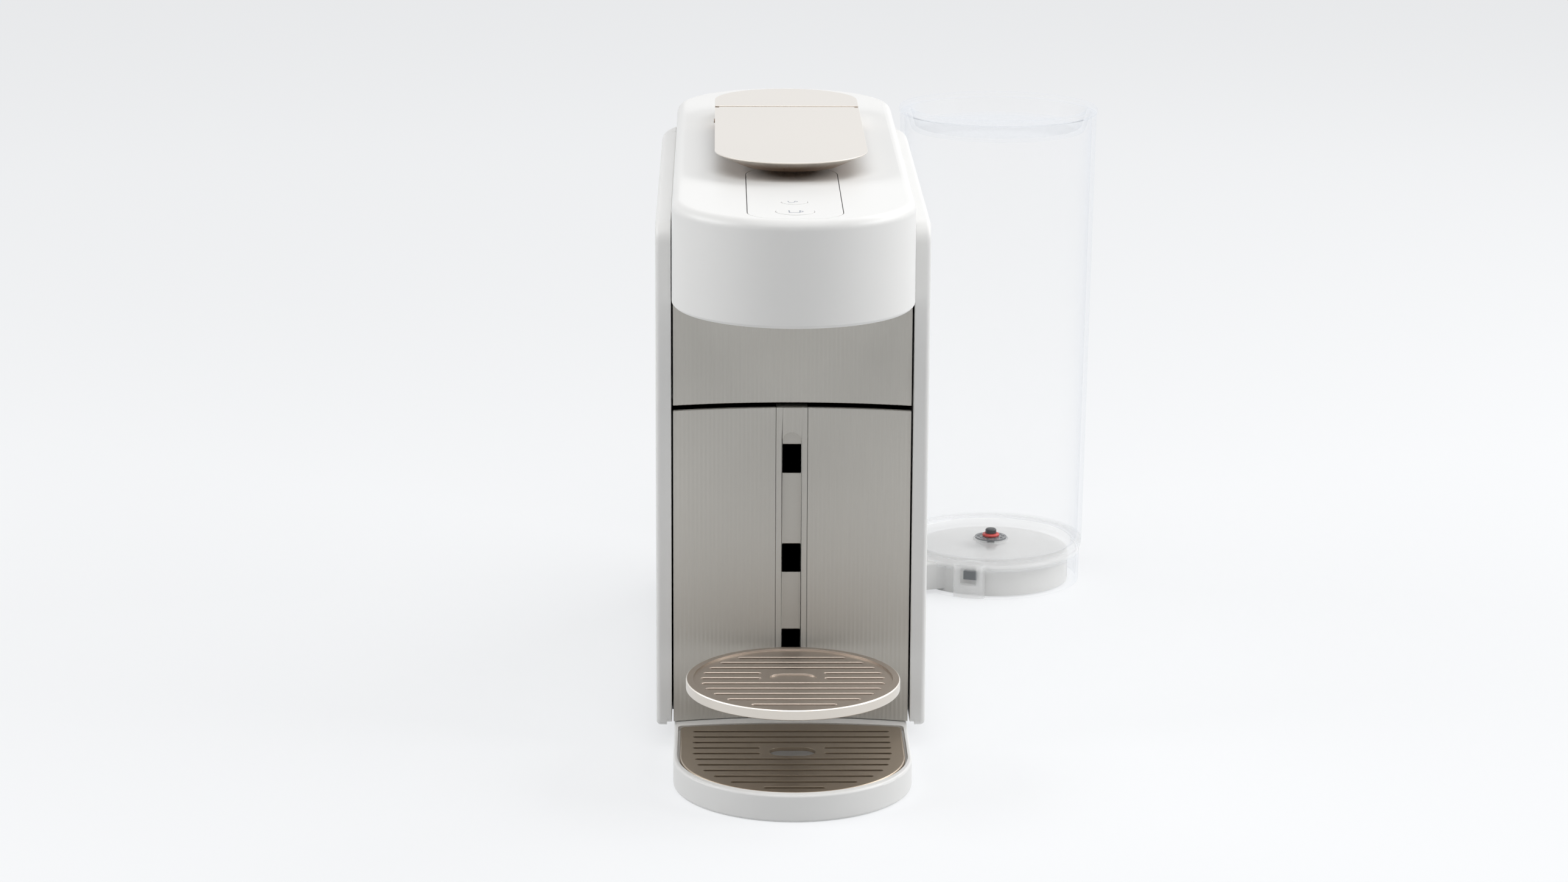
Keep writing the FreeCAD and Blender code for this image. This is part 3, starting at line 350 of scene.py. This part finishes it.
def round_edges(piece, width, segments, crease, share):
    """Bevels the edges sharper than crease; share gives an edge's part of the width from its ends."""
    bpy.ops.mesh.select_all(action="DESELECT")
    bpy.ops.mesh.edges_select_sharp(sharpness=math.radians(crease))
    bpy.ops.object.mode_set(mode="OBJECT")
    mesh = piece.data
    weights = mesh.attributes.new("bevel_weight_edge", "FLOAT", "EDGE")
    for edge in mesh.edges:
        if edge.select:
            ends = [mesh.vertices[corner].co for corner in edge.vertices]
            weights.data[edge.index].value = share(*ends) if share else 1.0
    rounding = piece.modifiers.new("Edges", "BEVEL")
    rounding.width = width
    rounding.segments = segments
    rounding.limit_method = "WEIGHT"
    rounding.use_clamp_overlap = share is None
    bpy.ops.object.modifier_apply(modifier=rounding.name)
    bpy.ops.object.mode_set(mode="EDIT")
    bpy.ops.mesh.select_all(action="SELECT")
    bpy.ops.mesh.dissolve_degenerate(threshold=SLIVER)
    bpy.ops.object.mode_set(mode="OBJECT")


def soften(node, material, width, segments=2, crease=25.0, share=None):
    """A copy with rounded edges stands for a node."""
    piece = copy_of(node)
    round_edges(piece, width, segments, crease, share)
    bpy.ops.object.shade_smooth_by_angle(angle=math.radians(crease))
    flats = piece.modifiers.new("Flats", "WEIGHTED_NORMAL")
    flats.keep_sharp = True
    bpy.ops.object.modifier_apply(modifier=flats.name)
    piece.data.materials.clear()
    piece.data.materials.append(material)
    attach(piece, BODY_OF[node])
    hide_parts(node)


# Finishes


def satin_white(look):
    material, graph = new_material("warm_white_plastic")
    grain = graph.noise(look.grain, 3.0)
    cloud = graph.noise(14.0, 2.0)
    graph.surface(
        base_color=graph.tint(cloud, shaded(look.white, 0.985), look.white),
        roughness=0.36 + 0.10 * grain,
        normal=graph.bump(grain, 0.12, 0.03 * MM),
    )
    return material


def ribbed_grey(look):
    material, graph = new_material("ribbed_grey_plastic")
    grain = graph.noise(look.grain, 3.0)
    cloud = graph.noise(20.0, 2.0)
    graph.surface(
        base_color=graph.tint(cloud, shaded(look.ribbed, 0.97), look.ribbed),
        roughness=0.34 + 0.10 * grain,
        metallic=0.15,
        normal=graph.bump(grain, 0.10, 0.02 * MM),
    )
    return material


def disc_top_shade(graph):
    """Where the disc's painted shade lies: the top of the cup disc, inside its outer wall."""
    outward = graph.from_axis(DISC_AXIS)
    return graph.ramp(outward, DISC_RADIUS - DISC_WALL / 2, DISC_RADIUS - DISC_WALL)


def shade_under_lid(graph):
    """Painted shade on the lid's underside, from its lip down, darkest towards the bottom."""
    return graph.ramp(graph.height(), LID_LIP - 0.2 * MM, LID_LIP - LID_HULL)


def metal_coat(look, name, colour, second=None, where=None):
    """A coated metal; where a second colour is given, it covers the share that the mask gives."""
    material, graph = new_material(name)
    flake = graph.noise(look.grain * 2.5, 1.0)
    cloud = graph.noise(9.0, 2.0)
    base = graph.tint(flake, shaded(colour, 0.93), colour)
    # The second colour is painted shade: on the top of the cup disc and under the lid.
    if where:
        base = graph.tint(where(graph), base, second)
    graph.surface(
        base_color=base,
        roughness=0.36 + 0.10 * flake + 0.04 * cloud,
        metallic=1.0,
        coat_weight=0.8,
        coat_roughness=0.28,
        normal=graph.bump(flake, 0.10, 0.015 * MM),
    )
    return material


def clear_plastic(look):
    """Clear plastic, thicker and whiter to the eye at the tank's floor, its rim and the lugs round the
    catch: partly thick plastic, partly painted highlight, and on the floor a painted pale cover over
    the shade under the valve; seen edge on it takes a painted bluish reflection.
    """
    material, graph = new_material("clear_tank_plastic")
    haze = graph.noise(60.0, 3.0)
    slant = graph.slant()
    level = graph.height() - TANK_FLOOR
    beside = level.math("ABSOLUTE", level, 0)
    outward = graph.from_axis(TANK_AXIS)
    # Floor, rim and lugs: partly thick plastic, partly painted highlight; the floor's white also covers
    # the shade under the valve.
    by_floor = graph.ramp(beside, 2.4 * MM, 1.8 * MM)
    floor = by_floor * graph.ramp(outward, FOOT_INSIDE + 2.0 * MM, FOOT_INSIDE)
    by_rim = graph.ramp(beside, 4.5 * MM, 1.5 * MM)
    rim = by_rim * graph.ramp(outward, FOOT_INSIDE, FOOT_INSIDE + 1.5 * MM)
    aside = graph.from_axis(CATCH)
    lug_side = graph.ramp(aside, LUG_INSIDE, LUG_INSIDE + LUG_FADE)
    lug_foot = graph.ramp(level, LUG_BOTTOM + LUG_FADE, LUG_BOTTOM)
    near_catch = graph.ramp(aside, LUG_OUTSIDE, LUG_OUTSIDE - LUG_FADE)
    lug = lug_side.at_least(lug_foot) * near_catch * graph.ramp(level, 0.0, -2.0 * MM)
    # Seen edge on, the tint is a painted reflection.
    tone_with_edge_reflection = graph.tint(slant, look.clear, look.clear_edge_reflection)
    graph.surface(
        base_color=graph.tint(floor + rim + lug, tone_with_edge_reflection, look.thick_foot_and_highlight),
        roughness=0.04 + 0.05 * haze,
        ior=1.5,
        alpha=0.006 + 0.008 * haze + 0.26 * slant ** 4 + 0.30 * rim + 0.36 * floor + 0.35 * lug,
    )
    return material


def smoked_plastic(look):
    material, graph = new_material("smoked_ring_plastic")
    haze = graph.noise(900.0, 2.0)
    graph.surface(
        base_color=graph.tint(haze, look.smoke, look.smoke_pale),
        roughness=0.12 + 0.08 * haze,
        ior=1.5,
        alpha=0.45 + 0.4 * graph.slant(),
    )
    return material


def moulded(look, name, colour, roughness=0.45, metallic=0.0, grain=1.0):
    material, graph = new_material(name)
    speck = graph.noise(look.grain * grain, 3.0)
    cloud = graph.noise(30.0, 2.0)
    graph.surface(
        base_color=graph.tint(cloud, shaded(colour, 0.9), colour),
        roughness=roughness - 0.06 + 0.12 * speck,
        metallic=metallic,
        normal=graph.bump(speck, 0.12, 0.03 * MM),
    )
    return material


MAKERS = {
    "white": satin_white,
    "ribbed": ribbed_grey,
    "champagne": lambda look: metal_coat(look, "champagne_coat", look.champagne),
    # The disc's top, the lid's underside and the grid take painted shade.
    "disc": lambda look: metal_coat(look, "disc_coat_with_painted_shade", look.champagne, look.disc, disc_top_shade),
    "lid": lambda look: metal_coat(look, "lid_coat_with_painted_shade", look.champagne, look.hull_shade, shade_under_lid),
    "taupe_and_shade": lambda look: metal_coat(look, "taupe_and_shade_coat", look.taupe_and_shade),
    "clear": clear_plastic,
    "dark": lambda look: moulded(look, "dark_plastic", look.dark),
    "pin": lambda look: moulded(look, "bronze_pin", (0.30, 0.24, 0.19), 0.4, 0.8),
    "bin": lambda look: moulded(look, "dark_bin_plastic", (0.15, 0.125, 0.10)),
    "chassis": lambda look: moulded(look, "chassis_plastic", (0.11, 0.11, 0.115)),
    "rubber": lambda look: moulded(look, "black_rubber", (0.02, 0.02, 0.02), 0.75),
    "seal": lambda look: moulded(look, "red_silicone", look.seal, 0.4),
    "hose": lambda look: moulded(look, "hose_silicone", (0.62, 0.61, 0.57), 0.35),
    "steel": lambda look: moulded(look, "brushed_steel", (0.56, 0.56, 0.57), 0.3, 1.0),
    "cast": lambda look: moulded(look, "cast_aluminium", (0.55, 0.55, 0.56), 0.45, 1.0, 0.4),
    "board": lambda look: moulded(look, "circuit_board", (0.02, 0.10, 0.05), 0.4),
    "smoked": smoked_plastic,
    "catch": lambda look: moulded(look, "grey_catch_plastic", (0.17, 0.18, 0.19), 0.3),
    "ink": lambda look: moulded(look, "grey_ink", look.ink, 0.5),
}
FINISHES = {}


def finish(look, name):
    """The material of a finish, made at its first use."""
    if name not in FINISHES:
        FINISHES[name] = MAKERS[name](look)
    return FINISHES[name]


class PieceOperator:
    """Shared by the operators that dress the machine."""

    bl_options = {"REGISTER", "UNDO"}

    @property
    def look(self):
        return bpy.context.scene.coffee_finish


class COFFEE_OT_shells(PieceOperator, bpy.types.Operator):
    """Head, side panels, cheeks, rear cover, tray and arm in warm white"""

    bl_idname = "coffee.shells"
    bl_label = "White shells"

    def execute(self, context):
        white = finish(self.look, "white")
        for node in ("rear_cover", "drip_tray", "tank_arm", "head_floor"):
            soften(node, white, self.look.edge)
        soften("head_housing", white, self.look.edge, share=self.off_keys)
        for node in ("left_panel", "right_panel", "left_cheek", "right_cheek"):
            soften(node, white, self.look.edge, share=self.off_seam)
        return {"FINISHED"}

    @staticmethod
    def off_keys(start, end):
        """No rounding where the head meets the button panel, full rounding elsewhere."""
        on_top = min(start.z, end.z) > HEAD_TOP - MM
        beside_keys = max(abs(start.x), abs(end.x)) < KEY_HALF and max(start.y, end.y) < 0
        return 0.0 if on_top and beside_keys else 1.0

    @staticmethod
    def off_seam(start, end):
        """No rounding along the seam between a panel and its cheek."""
        beside = abs(abs(start.x) - SEAM_X) + abs(abs(end.x) - SEAM_X)
        return 0.0 if beside < ON_FACE else 1.0


class COFFEE_OT_front(PieceOperator, bpy.types.Operator):
    """Ribbed upper panel, container front and hook rail"""

    bl_idname = "coffee.front"
    bl_label = "Ribbed front"

    def execute(self, context):
        ribbed = finish(self.look, "ribbed")
        soften("upper_front", ribbed, self.look.edge)
        soften("container_front", ribbed, self.look.edge, share=self.open_edge)
        soften("hook_rail", ribbed, self.look.edge, share=self.slot_rim)
        return {"FINISHED"}

    @staticmethod
    def open_edge(start, end):
        """Narrow rounding beside the rail and at the foot."""
        beside_rail = max(abs(start.x), abs(end.x)) < RAIL_HALF
        at_foot = max(start.z, end.z) < FRONT_FOOT + MM
        return 0.3 if beside_rail or at_foot else 1.0

    @staticmethod
    def slot_rim(start, end):
        """Full rounding round the slot, narrow at the sides of the rail."""
        inside = max(abs(start.x), abs(end.x)) < SLOT_HALF
        return 1.0 if inside else 0.3


class COFFEE_OT_lid(PieceOperator, bpy.types.Operator):
    """Lid and the fixed cap behind it"""

    bl_idname = "coffee.lid"
    bl_label = "Lid and cap"

    def execute(self, context):
        # The lid's underside carries painted shade.
        soften("lid_cover", finish(self.look, "lid"), self.look.edge / 2, segments=3)
        soften("rear_cap", finish(self.look, "champagne"), self.look.edge / 2, segments=3)
        return {"FINISHED"}


class COFFEE_OT_grids(PieceOperator, bpy.types.Operator):
    """Cup support disc and drip grid"""

    bl_idname = "coffee.grids"
    bl_label = "Disc and grid"

    def execute(self, context):
        pressing = {"width": 1.3 * self.look.edge, "segments": 3, "share": self.pressed}
        # The disc's top carries painted shade; the grid's colour carries painted shade from the disc
        # above.
        soften("cup_disc", finish(self.look, "disc"), **pressing)
        soften("drip_grid", finish(self.look, "taupe_and_shade"), self.look.edge / 2)
        return {"FINISHED"}

    @staticmethod
    def pressed(start, end):
        """Wide rounding at the slots, as in pressed sheet, narrow at the rim and the dish."""
        on_floor = abs(start.z - DISC_FLOOR) + abs(end.z - DISC_FLOOR) < ON_FACE
        offset = ((start + end) / 2 - DISC_AXIS).xy
        in_dish = abs(offset.x) < DISH_HALF[0] and abs(offset.y - DISH_SHIFT) < DISH_HALF[1]
        if not on_floor or offset.length > DISC_FLOOR_RADIUS:
            return 0.25
        return 0.4 if in_dish else 1.0


class COFFEE_OT_tank(PieceOperator, bpy.types.Operator):
    """Clear water tank and its lid"""

    bl_idname = "coffee.tank"
    bl_label = "Water tank"

    def execute(self, context):
        # The tank's foot carries painted highlight, and seen edge on a painted reflection.
        for node in ("water_tank", "tank_lid"):
            soften(node, finish(self.look, "clear"), self.look.edge)
        return {"FINISHED"}


class COFFEE_OT_keys(PieceOperator, bpy.types.Operator):
    """Button panel, keys and indicator"""

    bl_idname = "coffee.keys"
    bl_label = "Keys"

    def execute(self, context):
        soften("button_panel", finish(self.look, "white"), self.look.edge / 3)
        for node in ("large_key", "small_key", "indicator_lens"):
            soften(node, finish(self.look, "white"), self.look.edge / 8)
        return {"FINISHED"}


class COFFEE_OT_symbols(PieceOperator, bpy.types.Operator):
    """Cup symbols printed on the two keys"""

    bl_idname = "coffee.symbols"
    bl_label = "Key symbols"

    def execute(self, context):
        self.cup(
            "large_cup_symbol", "large_key", shift=(-0.3 * MM, -1.0 * MM),
            size=(5.2 * MM, 6.0 * MM), taper=0.96, line=0.55 * MM, handle=1.5 * MM,
        )
        self.cup(
            "small_cup_symbol", "small_key", shift=(-1.2 * MM, 0.0),
            size=(3.6 * MM, 3.8 * MM), taper=0.7, line=0.4 * MM, handle=1.1 * MM,
        )
        return {"FINISHED"}

    def cup(self, name, key, shift, size, taper, line, handle):
        """An open cup seen from the side, with a round handle."""
        deselect()
        bpy.ops.mesh.primitive_plane_add(size=1, location=(0, 0, 0))
        piece = bpy.context.active_object
        piece.name = name
        bpy.ops.object.mode_set(mode="EDIT")
        bpy.ops.transform.resize(value=(size[0], size[1], 1), center_override=(0, 0, 0))
        self.pick(piece, "VERT", lambda place: place.y < 0)
        bpy.ops.transform.resize(value=(taper, 1, 1), center_override=(0, 0, 0))
        bpy.ops.mesh.bevel(offset=2.2 * line, segments=5, affect="VERTICES")
        bpy.ops.mesh.select_all(action="SELECT")
        bpy.ops.mesh.inset(thickness=line)
        bpy.ops.mesh.delete(type="FACE")
        self.pick(piece, "FACE", lambda place: place.y > size[1] / 2 - line)
        bpy.ops.mesh.delete(type="FACE")
        bpy.ops.mesh.select_all(action="DESELECT")
        middle = Vector((size[0] / 2 - line / 2, 0, 0))
        bpy.ops.mesh.primitive_circle_add(vertices=20, radius=handle, fill_type="NGON", location=middle)
        bpy.ops.mesh.inset(thickness=line)
        bpy.ops.mesh.delete(type="FACE")
        hole = handle - 1.2 * line
        self.pick(piece, "FACE", lambda place: hole < (place - middle).length < handle)
        outside = size[0] * (1 + taper) / 4
        bpy.ops.mesh.bisect(plane_co=(outside, 0, 0), plane_no=(1, 0, 0), clear_inner=True)
        bpy.ops.mesh.select_all(action="SELECT")
        bpy.ops.mesh.extrude_region_move(TRANSFORM_OT_translate={"value": (0, 0, INK_DEPTH)})
        bpy.ops.mesh.select_all(action="SELECT")
        bpy.ops.mesh.normals_make_consistent(inside=False)
        seat = middle_of(key)
        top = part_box(key)[1][2]
        bpy.ops.transform.translate(value=(seat.x + shift[0], seat.y + shift[1], top))
        bpy.ops.object.mode_set(mode="OBJECT")
        piece.data.materials.append(finish(self.look, "ink"))
        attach(piece, BODY_OF[key])

    @staticmethod
    def pick(piece, kind, wanted):
        bpy.ops.mesh.select_mode(type=kind)
        bpy.ops.mesh.select_all(action="DESELECT")
        bpy.ops.object.mode_set(mode="OBJECT")
        for item in piece.data.vertices if kind == "VERT" else piece.data.polygons:
            item.select = wanted(item.co if kind == "VERT" else item.center)
        bpy.ops.object.mode_set(mode="EDIT")


class COFFEE_OT_works(PieceOperator, bpy.types.Operator):
    """Everything else that keeps its plain node"""

    bl_idname = "coffee.works"
    bl_label = "Inner works"

    def execute(self, context):
        groups = {
            "chassis": ("base_plate", "inner_frame", "hinge_bracket", "coffee_duct"),
            "dark": ("cord_gland", "coffee_outlet", "brew_chamber", "lid_plug", "cup_bracket",
                     "valve_plunger", "water_pump"),
            "pin": ("hinge_pins",),
            "bin": ("container_bin",),
            "smoked": ("valve_ring",),
            "catch": ("tank_catch",),
            "rubber": ("foot_ring", "pivot_foot", "arm_glides"),
            "seal": ("valve_seal",),
            "hose": ("hot_hose", "inlet_hose"),
            "steel": ("pod_holder",),
            "cast": ("spin_motor", "heater"),
            "board": ("key_board", "control_board"),
        }
        for name, nodes in groups.items():
            for node in nodes:
                coat(node, finish(self.look, name))
        return {"FINISHED"}


# Studio


def area_light(name, place, target, size, power):
    lamp = bpy.data.lights.new(name, "AREA")
    lamp.shape = "RECTANGLE"
    lamp.size, lamp.size_y = size
    lamp.energy = power
    holder = bpy.data.objects.new(name, lamp)
    bpy.context.scene.collection.objects.link(holder)
    holder.location = place
    holder.rotation_euler = (Vector(target) - Vector(place)).to_track_quat("-Z", "Y").to_euler()


def seen_rays(graph):
    """One for rays that show a surface to the eye, straight, mirrored or through plastic."""
    path = graph.tree.nodes.new("ShaderNodeLightPath")
    camera = Wire(graph, path.outputs["Is Camera Ray"])
    glossy = Wire(graph, path.outputs["Is Glossy Ray"])
    through = Wire(graph, path.outputs["Is Transmission Ray"])
    return camera.at_least(glossy).at_least(through)


class COFFEE_OT_stage(bpy.types.Operator):
    """Camera, pale floor, soft lights and a white surround"""

    bl_idname = "coffee.stage"
    bl_label = "Studio"

    def execute(self, context):
        scene = context.scene
        studio = scene.coffee_studio
        self.camera(scene, studio)
        self.floor(studio)
        self.surround(scene, studio)
        for lamp in LAMPS:
            area_light(*lamp)
        scene.view_settings.view_transform = "Standard"
        return {"FINISHED"}

    def camera(self, scene, studio):
        pitch, yaw, roll = studio.pitch, studio.yaw, studio.roll
        level = math.cos(pitch)
        forward = Vector((math.sin(yaw) * level, math.cos(yaw) * level, -math.sin(pitch)))
        right = Vector((math.cos(yaw), -math.sin(yaw), 0))
        up = right.cross(forward)
        across = math.cos(roll) * right + math.sin(roll) * up
        above = math.cos(roll) * up - math.sin(roll) * right
        lens = bpy.data.cameras.new("photo_view")
        lens.sensor_width = 36.0
        lens.lens = studio.lens
        lens.clip_end = 50.0
        holder = bpy.data.objects.new("photo_view", lens)
        scene.collection.objects.link(holder)
        turn = Matrix((across, above, -forward)).transposed()
        holder.matrix_world = Matrix.Translation(Vector(studio.camera)) @ turn.to_4x4()
        scene.camera = holder

    def floor(self, studio):
        deselect()
        bpy.ops.mesh.primitive_plane_add(size=2 * studio.floor_size, location=(0, 0, 0))
        ground = bpy.context.active_object
        ground.name = "studio_floor"
        material, graph = new_material("studio_floor")
        base = graph.node("ShaderNodeBsdfDiffuse", None, {"Color": FLOOR_COLOUR})
        glow = graph.node("ShaderNodeEmission", None, {"Color": FLOOR_GLOW, "Strength": 1.0})
        share = graph.ramp(graph.length(graph.place()), *GLOW_REACH, *GLOW_SHARE)
        mixed = graph.node("ShaderNodeMixShader", None, {0: seen_rays(graph) * share, 1: base, 2: glow})
        graph.finish_with(mixed)
        ground.data.materials.append(material)

    def surround(self, scene, studio):
        scene.world = bpy.data.worlds.new("white_surround")
        graph = Graph(scene.world)
        seen = seen_rays(graph)
        strength = studio.ambient + (1.0 - studio.ambient) * seen
        sockets = {"Color": SURROUND_COLOUR, "Strength": strength}
        back = graph.node("ShaderNodeBackground", None, sockets)
        made = graph.tree.nodes.new("ShaderNodeOutputWorld")
        graph.tree.links.new(back.socket, made.inputs["Surface"])


class COFFEE_PT_panel(bpy.types.Panel):
    """Lists the steps that dress the machine"""

    bl_label = "Pod coffee machine"
    bl_idname = "COFFEE_PT_panel"
    bl_space_type = "VIEW_3D"
    bl_region_type = "UI"
    bl_category = "Coffee"

    def draw(self, context):
        for operator in STEPS:
            self.layout.operator(operator.bl_idname)
        for name in FinishSettings.__annotations__:
            self.layout.prop(context.scene.coffee_finish, name)
        for name in StudioSettings.__annotations__:
            self.layout.prop(context.scene.coffee_studio, name)


STEPS = (
    COFFEE_OT_stage,
    COFFEE_OT_shells,
    COFFEE_OT_front,
    COFFEE_OT_lid,
    COFFEE_OT_grids,
    COFFEE_OT_tank,
    COFFEE_OT_keys,
    COFFEE_OT_symbols,
    COFFEE_OT_works,
)
CLASSES = (FinishSettings, StudioSettings) + STEPS + (COFFEE_PT_panel,)


def register():
    for cls in CLASSES:
        bpy.utils.register_class(cls)
    bpy.types.Scene.coffee_finish = PointerProperty(type=FinishSettings)
    bpy.types.Scene.coffee_studio = PointerProperty(type=StudioSettings)


def unregister():
    del bpy.types.Scene.coffee_studio
    del bpy.types.Scene.coffee_finish
    for cls in reversed(CLASSES):
        bpy.utils.unregister_class(cls)


def main():
    register()
    for step in STEPS:
        group, name = step.bl_idname.split(".")
        getattr(getattr(bpy.ops, group), name)()


if __name__ == "__main__":
    main()
